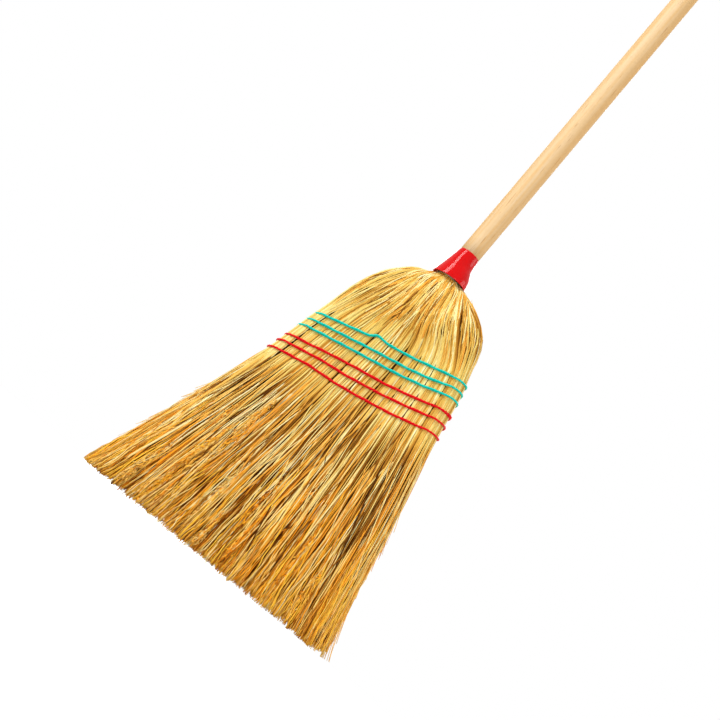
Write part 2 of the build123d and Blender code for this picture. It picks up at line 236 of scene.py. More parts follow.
def head_controls(c, angle, depth, tip_c=None, lift=None):
    """Control points of fibres from neck to sweep edge. depth is 1 at the surface and 0 in the middle."""
    tip_c = c if tip_c is None else tip_c
    share = row_share(c, angle, depth)
    turn = face_of(angle) * np.radians(90 - NECK_FAN_ANGLE * share)
    radius = NECK_INNER + (NECK_OUTER - NECK_INNER) * depth
    controls = []
    for height, grow in ((NECK_TOP, NECK_TOP_SHARE), (NECK_HEIGHT, 1.0)):
        x, y = grow * radius * np.cos(turn), grow * radius * np.sin(turn)
        controls.append(np.stack([x, y, np.full_like(x, height)], -1))
    fan_c = (1 - FAN_TIP_SHARE) * c + FAN_TIP_SHARE * tip_c
    for level in LEVELS:
        place = {FAN: fan_c, SWEEP: tip_c}.get(level, c)
        x = place * (level.half_width - level.half_depth) + depth * level.half_depth * np.cos(angle)
        y = depth * level.half_depth * np.sin(angle)
        roundness = ROUNDNESS.get(level, 0.0)
        x = WIDTH_SHARE * (x + roundness * (depth * level.half_width * np.cos(turn) - x))
        y = y + roundness * (depth * level.half_depth * np.sin(turn) - y)
        z = level.height + math.tan(math.radians(level.slant)) * x - level.dip * (1 - share**2)
        if level is SWEEP and lift is not None:
            z = z + lift
        controls.append(np.stack([x + level.lean, y, z], -1))
    return np.stack(controls, 1)


def spline(controls, u):
    """Smooth paths through control points at KNOTS, read at each fibre's own runs u."""
    steps = np.diff(KNOTS)
    slopes = np.diff(controls, axis=1) / steps[None, :, None]
    tangents = np.empty_like(controls)
    before, after = steps[None, :-1, None], steps[None, 1:, None]
    tangents[:, 1:-1] = (slopes[:, :-1] * after + slopes[:, 1:] * before) / (before + after)
    tangents[:, 0], tangents[:, -1] = slopes[:, 0], slopes[:, -1]
    k = np.clip(np.searchsorted(KNOTS, u, side="right") - 1, 0, len(steps) - 1)
    h = steps[k][..., None]
    t = (u[..., None] - KNOTS[k][..., None]) / h
    row = np.arange(len(u))[:, None]
    start, end = controls[row, k], controls[row, k + 1]
    leave, arrive = tangents[row, k] * h, tangents[row, k + 1] * h
    return (
        (2 * t**3 - 3 * t**2 + 1) * start
        + (t**3 - 2 * t**2 + t) * leave
        + (3 * t**2 - 2 * t**3) * end
        + (t**3 - t**2) * arrive
    )


# Drift along fibres: its waves, the spread of their lengths, and what brings their sum to about 1
WAVES = (1.0, 2.3)
WAVE_SPREAD = (0.75, 1.35)
WAVE_SUM = 1.4
# Runs between which fibres turn from facing the front or back to facing off the surface
FACING_RUNS = (60, 115)
LOWEST_TIP = 0.6


def wander(u, wavelength):
    """Smooth drift of about 1 along each fibre, different for every one."""
    drift = np.zeros_like(u)
    for wave in WAVES:
        phase = rng.uniform(0, 2 * math.pi, (len(u), 1))
        length = wavelength / wave * rng.uniform(*WAVE_SPREAD, (len(u), 1))
        drift += np.sin(2 * math.pi * u / length + phase) / wave
    return drift / WAVE_SUM


def outward_of(angle, u):
    """The way that fibres face: to the front or back at the neck, and off the surface lower down."""
    turned = smooth_step(*FACING_RUNS, u)
    x = turned * np.cos(angle)[:, None]
    y = (1 - turned) * face_of(angle)[:, None] + turned * np.sin(angle)[:, None]
    return unit(np.stack([x, y, np.zeros_like(x)], -1))


def nudge(paths, facing, across_by, outward_by):
    """Paths moved across and outwards by lengths given at every point."""
    across, outward = sideways(paths, facing)
    return paths + across * across_by[..., None] + outward * outward_by[..., None]


def above_floor(paths):
    """Paths with their low points raised just off the floor."""
    return np.concatenate([paths[..., :2], np.maximum(paths[..., 2:], LOWEST_TIP)], -1)


def lengths_from(start, shortest, longest, end_gap):
    """Random lengths of strands that end before the sweep edge."""
    return np.minimum(rng.uniform(shortest, longest, start.shape), SWEEP_RUN - end_gap - start)


def straw_values(tone, ripe, u):
    """Values that the straw material reads: tone and ripeness, with a zero as the third."""
    tone = np.clip(np.broadcast_to(tone, u.shape), 0, 1)
    ripe = np.clip(np.broadcast_to(ripe, u.shape), 0, 1)
    return np.stack([tone, ripe, np.zeros_like(u)], -1)


def down_rows(height):
    """How far down the sewn part a height is, from 0 to 1."""
    return (ROWS_TOP.height - height) / (ROWS_TOP.height - ROWS_BOTTOM.height)


def stitch_shift(share, u, depth):
    """Sideways shift that opens a slit at every stitch hole in the outer layers."""
    hole = np.round((share + 1) / 2 * GROUP_COUNT)
    aside = (share - (2 * hole / GROUP_COUNT - 1)) * ROWS_TOP.half_width
    push = SLIT_HALF_WIDTH * np.sign(aside) * np.exp(-((aside / SLIT_REACH) ** 2))
    heights = np.concatenate(list(ROW_HEIGHTS.values()))
    runs = ROWS_TOP_RUN + down_rows(heights) * (ROWS_BOTTOM_RUN - ROWS_TOP_RUN)
    near = sum(np.exp(-(((u - run) / SLIT_LENGTH) ** 2)) for run in runs)
    return push[:, None] * (SLIT_SHUT + np.minimum(near, 1.0)) * (depth > INNER_DEPTH)


# Trim of the sweep edge: lowest left of the middle, and higher to the right and at the worn corners
TRIM_LOWEST = 0.1
TRIM_RISE = 3.6
LEFT_CORNER_RISE = 2.0
RIGHT_CORNER_RISE = 5.5
# Tufts along the sweep edge, and how much higher the inner branches and those on the back end
TUFTS = 13
TUFT_RISE = 3.6
INNER_TRIM = 14.0
BACK_TRIM = 3.0
# How much narrower the middle of the head is at the tips than its surface
TIP_NARROWING = 0.6
# Tones and ripeness at the tips, and the runs over which inner fibres leave their painted shade and change to
# them
TIP_TONE = 0.8
INNER_TIP_TONE = 0.65
TIP_RIPE = 0.9
TIP_RUNS = (446, 461)


def trim_line(c, share):
    """Height at which the sweep edge is trimmed."""
    left = LEFT_CORNER_RISE * smooth_step(0.75, 1.0, -c)
    right = RIGHT_CORNER_RISE * smooth_step(0.92, 1.0, share)
    return TRIM_LOWEST + TRIM_RISE * np.clip(c + 0.1, 0, 1.1) ** 1.5 + (left + right)


def tuft_line(c):
    """Height of the tufts above the trim."""
    return TUFT_RISE * np.mod(TUFTS * c, 1.0)


def tip_places(c, spread, widest, depth):
    """Places of tips across the sweep edge, strewn about the fibres' own places."""
    limit = widest - TIP_NARROWING * (1 - depth)
    return np.clip(c + rng.normal(0, spread, len(c)), -limit, limit)


def towards_tips(value, tip_value, u, depth):
    """A value along fibres that changes to the tips' one near the sweep edge, for inner fibres alone."""
    return value + (tip_value - value) * smooth_step(*TIP_RUNS, u) * (depth < INNER_DEPTH)


# Stalks: full length, ribbon-like at the rows, in layers whose tones darken inwards as painted shade inside
# the head
StalkLayer = namedtuple("StalkLayer", "depth count tone ripe fan_fade rows_gain")
STALK_LAYERS = (
    StalkLayer(1.0, 250, 0.48, -0.1, 0.2, 0.15),
    StalkLayer(0.95, 160, 0.22, 0.2, 0.6, 0.28),
    StalkLayer(0.88, 140, 0.06, 0.4, 0.6, 0.0),
    StalkLayer(0.78, 120, 0.03, 0.4, 0.6, 0.0),
)
# Runs at which stalks have points, as starts, ends and steps
STALK_STEPS = ((0, 20, 4), (20, 68, 8), (68, 138, 13), (138, 222, 5.5), (222, 465, 40))
STALK_RUNS = np.concatenate([np.arange(*steps) for steps in STALK_STEPS])
# Half widths and half depths of a middling stalk by run
STALK_WIDTHS = {0: 0.44, 40: 0.68, 68: 0.86, 105: 0.98, 140: 1.1, 214: 1.06, 232: 0.76, 260: 0.5, 465: 0.38}
STALK_DEPTHS = {0: 0.5, 40: 0.75, 68: 0.8, 140: 0.38, 220: 0.38, 300: 0.6, 465: 0.4}


def stalk_layer(layer):
    """One layer of stalks, spread round the head with jitter."""
    count = layer.count
    place = (np.arange(count) + rng.uniform(-0.45, 0.45, count)) / count
    c, angle = around_section(place + rng.uniform(0, 1))
    deep = layer.depth + rng.normal(0, 0.012, count)
    share = row_share(c, angle, deep)
    tip_c = tip_places(c, spread=0.02, widest=1.0, depth=layer.depth)
    lift = trim_line(c, share) + 2.0 + np.abs(rng.normal(0, 3.0, count))
    u = np.repeat(STALK_RUNS[None], count, axis=0)
    paths = spline(head_controls(c, angle, deep, tip_c, lift), u)
    facing = outward_of(angle, u)
    rows = smooth_step(100, ROWS_TOP_RUN, u) * (1 - smooth_step(ROWS_BOTTOM_RUN, 270, u))
    shoulders = smooth_step(25, 60, u) * (1 - smooth_step(95, 135, u))
    fan = smooth_step(ROWS_BOTTOM_RUN, FREE_RUN, u)
    fan_start = smooth_step(ROWS_BOTTOM_RUN, 260, u)
    slits = rows * face_of(angle)[:, None] * stitch_shift(share, u, layer.depth)
    across_by = wander(u, 95.0) * (0.3 + 1.1 * shoulders + 1.4 * fan) + slits
    outward_by = wander(u, 70.0) * (0.15 + 0.5 * shoulders + 0.7 * fan)
    paths = nudge(paths, facing, across_by, outward_by)
    size = rng.lognormal(0.0, 0.3, (count, 1))
    widths = size * read_profile(STALK_WIDTHS, u)
    depths = np.minimum(widths, size * read_profile(STALK_DEPTHS, u))
    variation = np.maximum(rng.normal(0, 0.38, (count, 1)), -0.6)
    # Low tones of the inner layers are painted shade inside the head
    tone = layer.tone * (1 + variation - layer.fan_fade * fan_start) + layer.rows_gain * rows
    tone = towards_tips(tone, TIP_TONE, u, layer.depth)
    ripe = layer.ripe + rng.exponential(0.16, (count, 1)) - 0.04 * rows + 0.25 * fan_start
    ripe = towards_tips(ripe, TIP_RIPE, u, layer.depth)
    values = straw_values(tone, ripe, u)
    lay("stalks", (share, angle, deep), paths, facing, widths, depths, values, sides=6)


for stalks in STALK_LAYERS:
    stalk_layer(stalks)

# Wisps: thin loose strands that lie over the others, a little off their run
WispGroup = namedtuple("WispGroup", "count first_run last_run shortest longest proud drift half_width")
WISP_GROUPS = (
    WispGroup(170, 0, 14, 40, 90, 0.8, 3.0, 0.55),
    WispGroup(380, 4, 90, 25, 75, 1.2, 3.0, 0.5),
    WispGroup(520, 205, 370, 50, 150, 2.2, 8.0, 0.55),
)
WISP_STEPS = 12
WISP_FLATNESS = 0.8
WISP_TUCK = 1.5
# Shares of pale, orange and dark wisps, their tones and ripeness, and the least tone at the sides, painted
# light against the shade there
WISP_KINDS = (0.54, 0.33, 0.13)
WISP_TONES = np.array([0.88, 0.58, 0.1])
WISP_RIPENESS = np.array([0.06, 0.58, 0.35])
SIDE_PAINTED_LIGHT_TONE = 0.6


def strand_paths(start, length, steps, c, angle, deep, *tips):
    """Shares of the way along strands, and their runs, paths and facings."""
    t = np.linspace(0, 1, steps)[None]
    u = start + length * t
    return t, u, spline(head_controls(c, angle, deep, *tips), u), outward_of(angle, u)


def wisps(group):
    """Loose strands with both ends tucked under the surface."""
    count = group.count
    c, angle = around_section(rng.uniform(0, 1, count))
    deep = np.ones(count)
    share = row_share(c, angle, deep)
    start = rng.uniform(group.first_run, group.last_run, (count, 1))
    length = lengths_from(start, group.shortest, group.longest, end_gap=10)
    t, u, paths, facing = strand_paths(start, length, WISP_STEPS, c, angle, deep)
    bow = rng.normal(0, group.drift / 4, (count, 1)) * np.sin(math.pi * t)
    across_by = rng.normal(0, group.drift, (count, 1)) * (t - 0.5) + bow
    tucked = 1 - (2 * t - 1) ** 4
    raised = rng.uniform(0.2, 1.0, (count, 1)) * group.proud
    paths = nudge(paths, facing, across_by, raised * tucked - WISP_TUCK * (1 - tucked))
    size = rng.lognormal(0.0, 0.3, (count, 1)) * group.half_width
    widths = size * (0.5 + 0.5 * np.sqrt(tucked))
    kind = rng.choice(len(WISP_KINDS), count, p=WISP_KINDS)
    tone = WISP_TONES[kind] + rng.normal(0, 0.08, count)
    tone = np.where(np.abs(share) > 0.93, np.maximum(tone, SIDE_PAINTED_LIGHT_TONE), tone)
    ripe = WISP_RIPENESS[kind] + rng.normal(0, 0.1, count)
    values = straw_values(tone[:, None], ripe[:, None] + 0.4 * smooth_step(250, 440, u), u)
    lay("wisps", (share, angle, deep), paths, facing, widths, WISP_FLATNESS * widths, values, sides=5)


for wisp_group in WISP_GROUPS:
    wisps(wisp_group)

# Sprigs: fine branches that leave the rows, gather by the sprig and spread to the sweep edge
SprigLayer = namedtuple("SprigLayer", "depth sprigs steps first_run last_run tone low_tone half_width spread")
# Inner sprig layers have low tones: painted shade inside the head
INNER_SPRIGS = ((0.78, 110), (0.6, 90), (0.4, 75), (0.18, 60))
SPRIG_LAYERS = (
    SprigLayer(1.0, 95, 22, 200, 310, 0.86, 1.12, 0.78, 0.2),
    SprigLayer(1.0, 54, 16, 290, 380, 0.86, 1.12, 0.68, 0.2),
    SprigLayer(0.95, 120, 22, 200, 310, 0.22, 0.34, 0.6, 0.1),
    SprigLayer(0.88, 130, 16, 200, 310, 0.04, 0.12, 1.0, 0.04),
    *(SprigLayer(*inner, 14, 200, 310, 0.02, 0.08, 1.0, 0.04) for inner in INNER_SPRIGS),
)
BRANCHES_PER_SPRIG = 4
# Shares of pale, orange and brown branches, and their tones and ripeness
BRANCH_KINDS = (0.42, 0.41, 0.17)
BRANCH_TONES = np.array([1.14, 0.92, 0.28])
BRANCH_RIPENESS = np.array([0.12, 0.98, 1.0])
# Least tone at the sides, painted light against the shade that falls there; how far inner layers lose their
# painted shade for the tips' tone there; and painted shade and more ripeness on the right
EDGE_PAINTED_LIGHT_TONE = 0.8
EDGE_GAIN = 0.7
RIGHT_PAINTED_SHADE = 0.12
RIGHT_RIPE = 0.2
# Share of a middling branch's half width by run, and how deep a branch starts under the surface
BRANCH_WIDTHS = {200: 0.9, 260: 0.75, 465: 0.68}
BRANCH_TUCK = 1.6
WIDEST_TIP = 1.01


def sprig_layer(layer):
    """One layer of sprigs, each with its own lean, height, trim and colour."""
    total = layer.sprigs
    place = (np.arange(total) + rng.uniform(-0.5, 0.5, total)) / total
    lean = rng.normal(0, 0.036, total)
    rise = rng.normal(0, 0.8, total)
    trim = tuft_line(around_section(place)[0]) + rng.uniform(0, 1.4, total)
    shade = rng.normal(0, 0.6 * layer.spread, total)
    ripeness = rng.normal(0.0, 0.18, total)
    sprig = np.repeat(np.arange(total), BRANCHES_PER_SPRIG)
    count = len(sprig)
    c, angle = around_section(place[sprig] + rng.normal(0, 0.0024, count))
    deep = np.clip(layer.depth + rng.normal(0, 0.015, count), 0.02, 1.0)
    share = row_share(c, angle, deep)
    tip_c = tip_places(c + lean[sprig], spread=0.022, widest=WIDEST_TIP, depth=layer.depth)
    edge = smooth_step(0.78, 0.94, np.abs(share))
    lift = trim_line(tip_c, share) + trim[sprig] + np.abs(rng.normal(0, 1.8, count))
    lift = lift + INNER_TRIM * (1 - deep) * (1 - edge) + BACK_TRIM * (face_of(angle) > 0)
    start = rng.uniform(layer.first_run, layer.last_run, (count, 1))
    t, u, paths, facing = strand_paths(start, SWEEP_RUN - start, layer.steps, c, angle, deep, tip_c, lift)
    free = smooth_step(ROWS_BOTTOM_RUN - 20, FREE_RUN, u)
    starting = 1 - smooth_step(0.0, 0.15, t)
    outward_by = (wander(u, 120.0) + rise[sprig][:, None]) * free - BRANCH_TUCK * starting
    paths = nudge(paths, facing, wander(u, 130.0) * 2.4 * free, outward_by)
    paths = above_floor(paths + rng.normal(0, 0.4, paths.shape) * smooth_step(280, 430, u)[..., None])
    size = rng.lognormal(0.0, 0.28, (count, 1))
    widths = size * layer.half_width * read_profile(BRANCH_WIDTHS, u)
    kind = rng.choice(len(BRANCH_KINDS), count, p=BRANCH_KINDS)
    own = shade[sprig] + rng.normal(0, layer.spread, count)
    # Painted light at the side edges, and painted shade that darkens branches towards the right
    kind_tone = np.maximum(BRANCH_TONES[kind], EDGE_PAINTED_LIGHT_TONE * edge)
    own = own + layer.tone * (kind_tone - 1 - RIGHT_PAINTED_SHADE * share * (1 - edge))
    own = own + np.maximum(TIP_TONE - layer.tone, 0) * EDGE_GAIN * edge
    own = own[:, None] + (layer.low_tone - layer.tone) * smooth_step(270, 420, u)
    tone = towards_tips(layer.tone + own, INNER_TIP_TONE, u, layer.depth)
    ripe = BRANCH_RIPENESS[kind] + ripeness[sprig] + rng.normal(0, 0.1, count)
    ripe = (ripe + RIGHT_RIPE * np.maximum(share, 0))[:, None] - 0.55 + 0.95 * smooth_step(250, 410, u)
    ripe = towards_tips(ripe, TIP_RIPE, u, layer.depth)
    lay("branches", (share, angle, deep), paths, facing, widths, widths, straw_values(tone, ripe, u))


for sprigs in SPRIG_LAYERS:
    sprig_layer(sprigs)

# Plain strands: points along each, and its half width, tone and ripeness with their spreads. Branchlets take
# their seed head's tone and ripeness
Strand = namedtuple("Strand", "steps half_width size_spread tone tone_spread ripe ripe_spread")
TIP_FIBRE = Strand(10, 0.36, 0.25, 0.82, 0.2, 0.75, 0.2)
BRANCHLET = Strand(12, 0.42, 0.25, 0.0, 0.25, 0.0, 0.12)
STRAY = Strand(12, 0.45, 0.2, 0.8, 0.1, 0.6, 0.2)
TIP_FIBRE_TUCK = 1.2


def strand_looks(strand, u):
    """Half widths and material values of plain strands."""
    each = (len(u), 1)
    widths = strand.half_width * rng.lognormal(0.0, strand.size_spread, each) * np.ones_like(u)
    tone = strand.tone + rng.normal(0, strand.tone_spread, each)
    ripe = strand.ripe + rng.normal(0, strand.ripe_spread, each)
    return widths, straw_values(tone, ripe, u)


def tip_fibres(count):
    """Short fine fibres that thicken the outer layer near the sweep edge."""
    c, angle = around_section(rng.uniform(0, 1, count))
    deep = rng.uniform(INNER_DEPTH, 1.0, count)
    share = row_share(c, angle, deep)
    tip_c = tip_places(c, spread=0.012, widest=WIDEST_TIP, depth=1.0)
    lift = trim_line(tip_c, share) + tuft_line(c) + np.abs(rng.normal(0, 1.9, count))
    lift = lift + BACK_TRIM * (face_of(angle) > 0)
    start = rng.uniform(370, 435, (count, 1))
    t, u, paths, facing = strand_paths(start, SWEEP_RUN - start, TIP_FIBRE.steps, c, angle, deep, tip_c, lift)
    paths = nudge(paths, facing, wander(u, 60.0) * 1.2 * t, 0.6 * t - TIP_FIBRE_TUCK * (1 - t))
    paths = above_floor(paths + rng.normal(0, 0.35, paths.shape))
    widths, values = strand_looks(TIP_FIBRE, u)
    lay("branches", (share, angle, deep), paths, facing, widths, widths, values)


tip_fibres(count=640)

# Seed heads: crinkled branchlets with husks that lie over the fan, on the front and in reverse on the back
SeedHead = namedtuple("SeedHead", "c first_run last_run spread tone ripe")
SEED_HEADS = (
    SeedHead(-0.50, 262, 440, 9.0, 0.9, 0.8),
    SeedHead(-0.60, 305, 445, 8.0, 0.86, 0.85),
    SeedHead(-0.74, 262, 310, 4.0, 0.7, 0.8),
    SeedHead(-0.82, 360, 450, 7.0, 0.86, 0.75),
    SeedHead(-0.22, 340, 440, 7.0, 0.85, 0.2),
    SeedHead(-0.05, 390, 452, 6.0, 0.75, 0.9),
    SeedHead(0.85, 370, 445, 6.0, 0.75, 0.8),
    SeedHead(0.12, 322, 400, 6.0, 0.55, 1.0),
    SeedHead(0.20, 380, 450, 9.0, 0.65, 0.95),
    SeedHead(0.42, 300, 372, 5.0, 0.5, 1.0),
    SeedHead(0.64, 345, 435, 6.0, 0.6, 0.95),
)
BRANCHLETS_PER_AREA = 0.026
BRANCHLET_LENGTHS = (22, 50)
BRANCHLET_TUCK = 0.8
HUSKS_PER_BRANCHLET = 6
HUSK_LENGTHS = (4.0, 8.5)
HUSK_WIDTHS = np.array([0.3, 0.62, 0.2])
# Shares of a husk's length that its three points lie ahead and aside
HUSK_POINTS = ((0.0, 0.0), (0.5, 0.16), (0.95, 0.3))


def husks(place, paths, values):
    """Short husks that stand off branchlets."""
    count = len(paths)
    row = np.arange(count)
    for _ in range(HUSKS_PER_BRANCHLET):
        k = rng.integers(1, BRANCHLET.steps - 1, count)
        ahead = unit(paths[row, k + 1] - paths[row, k])
        aside = rng.normal(0, 1, (count, 3))
        aside = unit(aside - (aside * ahead).sum(1, keepdims=True) * ahead)
        length = rng.uniform(*HUSK_LENGTHS, (count, 1))
        points = [paths[row, k] + length * (forth * ahead + off * aside) for forth, off in HUSK_POINTS]
        husk = above_floor(np.stack(points, 1))
        facing = np.broadcast_to(np.array([0.0, 1.0, 0.0]), husk.shape)
        widths = HUSK_WIDTHS * rng.uniform(0.8, 1.3, (count, 1))
        lighter = rng.normal(0.0, 0.25, (count, 1)) * np.array([1.0, 0.0, 0.0])
        looks = np.repeat(np.clip(values[row, k] + lighter, 0, 1)[:, None], len(HUSK_POINTS), axis=1)
        lay("seeds", place, husk, facing, widths, widths, looks)


def seed_head(head, front):
    """Branchlets of one seed head, which part from its stem and crinkle."""
    run = head.last_run - head.first_run
    count = round(BRANCHLETS_PER_AREA * run * head.spread)
    along = rng.uniform(0, 0.8, (count, 1))
    start = head.first_run + run * along
    length = lengths_from(start, *BRANCHLET_LENGTHS, end_gap=8)
    c = np.full(count, -front * head.c)
    angle = np.full(count, front * math.pi / 2)
    deep = np.ones(count)
    t, u, paths, facing = strand_paths(start, length, BRANCHLET.steps, c, angle, deep)
    reach = head.spread * (0.25 + 0.75 * along)
    across_by = rng.normal(0, 0.5, (count, 1)) * reach + rng.normal(0, 2.0, (count, 1)) * t
    raised = rng.uniform(0.4, 2.4, (count, 1)) * smooth_step(0.0, 0.25, t)
    paths = nudge(paths, facing, across_by, raised - BRANCHLET_TUCK)
    paths = paths + rng.normal(0, 0.7, paths.shape)
    widths, values = strand_looks(BRANCHLET._replace(tone=head.tone, ripe=head.ripe), u)
    place = (row_share(c, angle, deep), angle, deep)
    lay("seeds", place, paths, facing, widths, widths, values)
    husks(place, paths, values)


for front in (-1, 1):
    for head in SEED_HEADS:
        seed_head(head, front)

# Strays: fine strands that peel off the left and right edges
StrayGroup = namedtuple("StrayGroup", "left right first_run last_run shortest longest reach")
STRAY_GROUPS = (
    StrayGroup(18, 30, 235, 400, 40, 110, 6.5),
    StrayGroup(0, 26, 340, 410, 60, 100, 13.0),
)
STRAY_TUCK = 1.5
STRAY_TAPER = 0.3


def strays(group):
    """Strands that lie in the edge at their start and curve away from it."""
    side = np.repeat([-1.0, 1.0], (group.left, group.right))
    count = len(side)
    angle = np.radians(90 - side * 90 + rng.uniform(-25, 45, count))
    start = rng.uniform(group.first_run, group.last_run, (count, 1))
    length = lengths_from(start, group.shortest, group.longest, end_gap=4)
    deep = np.ones(count)
    t, u, paths, facing = strand_paths(start, length, STRAY.steps, side, angle, deep)
    away = rng.uniform(0.3, 1.0, (count, 1)) * group.reach
    paths = nudge(paths, facing, wander(u, 90.0) * 1.5 * t, (STRAY_TUCK + away) * t**1.6 - STRAY_TUCK)
    widths, values = strand_looks(STRAY, u)
    widths = widths * (1 - STRAY_TAPER * t)
    place = (row_share(side, angle, deep), angle, deep)
    lay("wisps", place, paths, facing, widths, widths, values)


for stray_group in STRAY_GROUPS:
    strays(stray_group)

# Dark stalks that fill the middle behind the slits, painted shade deep in the head
stalk_layer(StalkLayer(0.5, 90, 0.03, 0.4, 0.6, 0.0))


# Materials, with colours by tone or by place in a pattern
HANDLE_RADIUS = 12.7
WHITE = (1.0, 1.0, 1.0)
STRAW_GOLD = (
    (0.0, (0.085, 0.028, 0.002)),
    (0.2, (0.43, 0.185, 0.020)),
    (0.45, (0.77, 0.445, 0.071)),
    (0.65, (0.84, 0.61, 0.16)),
    (0.85, (0.91, 0.76, 0.29)),
    (1.0, (0.97, 0.87, 0.47)),
)
STRAW_ORANGE = (
    (0.0, (0.08, 0.022, 0.0015)),
    (0.25, (0.41, 0.122, 0.005)),
    (0.5, (0.95, 0.32, 0.013)),
    (0.8, (1.0, 0.455, 0.026)),
    (1.0, (1.0, 0.57, 0.055)),
)
STRAW_STREAKS = ((0.25, (0.55, 0.46, 0.34)), (0.6, WHITE))
WOOD_GRAIN = (
    (0.3, (0.65, 0.405, 0.175)),
    (0.42, (0.68, 0.465, 0.24)),
    (0.55, (0.69, 0.495, 0.285)),
    (0.8, (0.705, 0.52, 0.32)),
)
WOOD_TICKS = ((0.28, (0.62, 0.45, 0.30)), (0.36, WHITE))
# Painted shade: the stick darkens to gold towards its left and right sides
WOOD_SIDE_SHADE = ((0.25, WHITE), (0.9, (0.93, 0.82, 0.62)))


def feed(tree, node, inputs):
    """Sets a node's inputs to values or links them to outputs of other nodes."""
    for socket, value in inputs.items():
        if isinstance(value, bpy.types.NodeSocket):
            tree.links.new(value, node.inputs[socket])
        else:
            node.inputs[socket].default_value = value


def add_node(tree, kind, inputs, **settings):
    """A new shader node with these settings and inputs."""
    node = tree.nodes.new("ShaderNode" + kind)
    for setting, value in settings.items():
        setattr(node, setting, value)
    feed(tree, node, inputs)
    return node


def node_material(name, roughness, specular):
    """A material with its gloss set, its node tree and its shader."""
    material = bpy.data.materials.new(name)
    material.use_nodes = True
    tree = material.node_tree
    shader = tree.nodes["Principled BSDF"]
    feed(tree, shader, {"Roughness": roughness, "Specular IOR Level": specular})
    return material, tree, shader


def ramp(tree, pattern, stops):
    """Colours from these stops, read at a pattern."""
    node = add_node(tree, "ValToRGB", {"Fac": pattern})
    elements = node.color_ramp.elements
    while len(elements) < len(stops):
        elements.new(0.5)
    for element, (place, colour) in zip(elements, stops):
        element.position = place
        element.color = (*colour, 1.0)
    return node.outputs["Color"]


def noise(tree, stretch, detail=3.0, roughness=0.5):
    """A noise pattern, in cycles per metre along each axis."""
    place = add_node(tree, "TexCoord", {}).outputs["Object"]
    stretched = add_node(tree, "Mapping", {"Vector": place, "Scale": stretch}).outputs["Vector"]
    inputs = {"Vector": stretched, "Scale": 1.0, "Detail": detail, "Roughness": roughness}
    return add_node(tree, "TexNoise", inputs).outputs["Fac"]


def mixed(tree, kind, a, b, factor):
    """Two colours mixed by a set share or by a pattern."""
    inputs = {"A": a, "B": b, "Factor": factor}
    return add_node(tree, "Mix", inputs, data_type="RGBA", blend_type=kind).outputs["Result"]


def bumps(tree, pattern, strength, distance):
    """Normals of a surface bumped by a pattern."""
    inputs = {"Height": pattern, "Strength": strength, "Distance": distance}
    return add_node(tree, "Bump", inputs).outputs["Normal"]


def straw_material():
    """Broomcorn: dark to pale gold stalks that ripen to orange, with lengthwise streaks; its darkest tones
    also carry the inner layers' painted shade.
    """
    material, tree, shader = node_material("broomcorn_straw", roughness=0.48, specular=0.06)
    values = add_node(tree, "Attribute", {}, attribute_name="straw").outputs["Vector"]
    parts = add_node(tree, "SeparateXYZ", {"Vector": values}).outputs
    gold, orange = (ramp(tree, parts["X"], stops) for stops in (STRAW_GOLD, STRAW_ORANGE))
    ripened = mixed(tree, "MIX", gold, orange, parts["Y"])
    streaks = noise(tree, (900.0, 900.0, 60.0), roughness=0.6)
    streaked = mixed(tree, "MULTIPLY", ripened, ramp(tree, streaks, STRAW_STREAKS), 0.6)
    feed(tree, shader, {"Base Color": streaked, "Normal": bumps(tree, streaks, 0.25, 0.0004)})
    return material


def wood_material():
    """Pale pinkish wood with orange grain and fine ticks, and painted shade that darkens it to gold towards
    the stick's left and right sides.
    """
    material, tree, shader = node_material("handle_pine", roughness=0.5, specular=0.15)
    grain = noise(tree, (150.0, 150.0, 4.0), detail=5.0, roughness=0.6)
    pores = noise(tree, (900.0, 900.0, 45.0), detail=2.0)
    ticked = mixed(tree, "MULTIPLY", ramp(tree, grain, WOOD_GRAIN), ramp(tree, pores, WOOD_TICKS), 0.6)
    # Painted shade across the stick, darker the farther from its middle in x
    place = add_node(tree, "TexCoord", {}).outputs["Object"]
    x = add_node(tree, "SeparateXYZ", {"Vector": place}).outputs["X"]
    aside = add_node(tree, "Math", {0: x}, operation="ABSOLUTE").outputs["Value"]
    to_shaded_sides = add_node(tree, "MapRange", {"Value": aside, "From Max": HANDLE_RADIUS * MM}).outputs["Result"]
    side_shaded = mixed(tree, "MULTIPLY", ticked, ramp(tree, to_shaded_sides, WOOD_SIDE_SHADE), 1.0)
    feed(tree, shader, {"Base Color": side_shaded, "Normal": bumps(tree, grain, 0.12, 0.0003)})
    return material


def speckled_material(name, stops, roughness, specular, cycles, detail=3.0, metallic=0.0, bump=None):
    """A material of two close colours in a noise that may also roughen it."""
    material, tree, shader = node_material(name, roughness, specular)
    pattern = noise(tree, (cycles, cycles, cycles), detail)
    feed(tree, shader, {"Base Color": ramp(tree, pattern, stops), "Metallic": metallic})
    if bump:
        feed(tree, shader, {"Normal": bumps(tree, pattern, *bump)})
    return material


STRAW = straw_material()
COLLAR_REDS = ((0.3, (0.55, 0.0, 0.0)), (0.7, (0.60, 0.0, 0.001)))
COLLAR_PLASTIC = speckled_material("collar_red", COLLAR_REDS, roughness=0.1, specular=0.15, cycles=60.0)
STEEL_STAINS = ((0.35, (0.16, 0.13, 0.08)), (0.65, (0.42, 0.40, 0.33)))
STEEL = speckled_material(
    "wire_steel", STEEL_STAINS, roughness=0.4, specular=0.5, cycles=300.0, detail=4.0, metallic=0.7
)
TWINE_COLOURS = {
    "teal": ((0.3, (0.0, 0.44, 0.35)), (0.65, (0.0, 0.64, 0.51))),
    "red": ((0.3, (0.57, 0.001, 0.004)), (0.65, (0.81, 0.002, 0.008))),
}
TWINES = {
    colour: speckled_material(
        f"twine_{colour}", stops, roughness=0.4, specular=0.1, cycles=1400.0, bump=(0.25, 0.0003)
    )
    for colour, stops in TWINE_COLOURS.items()
}

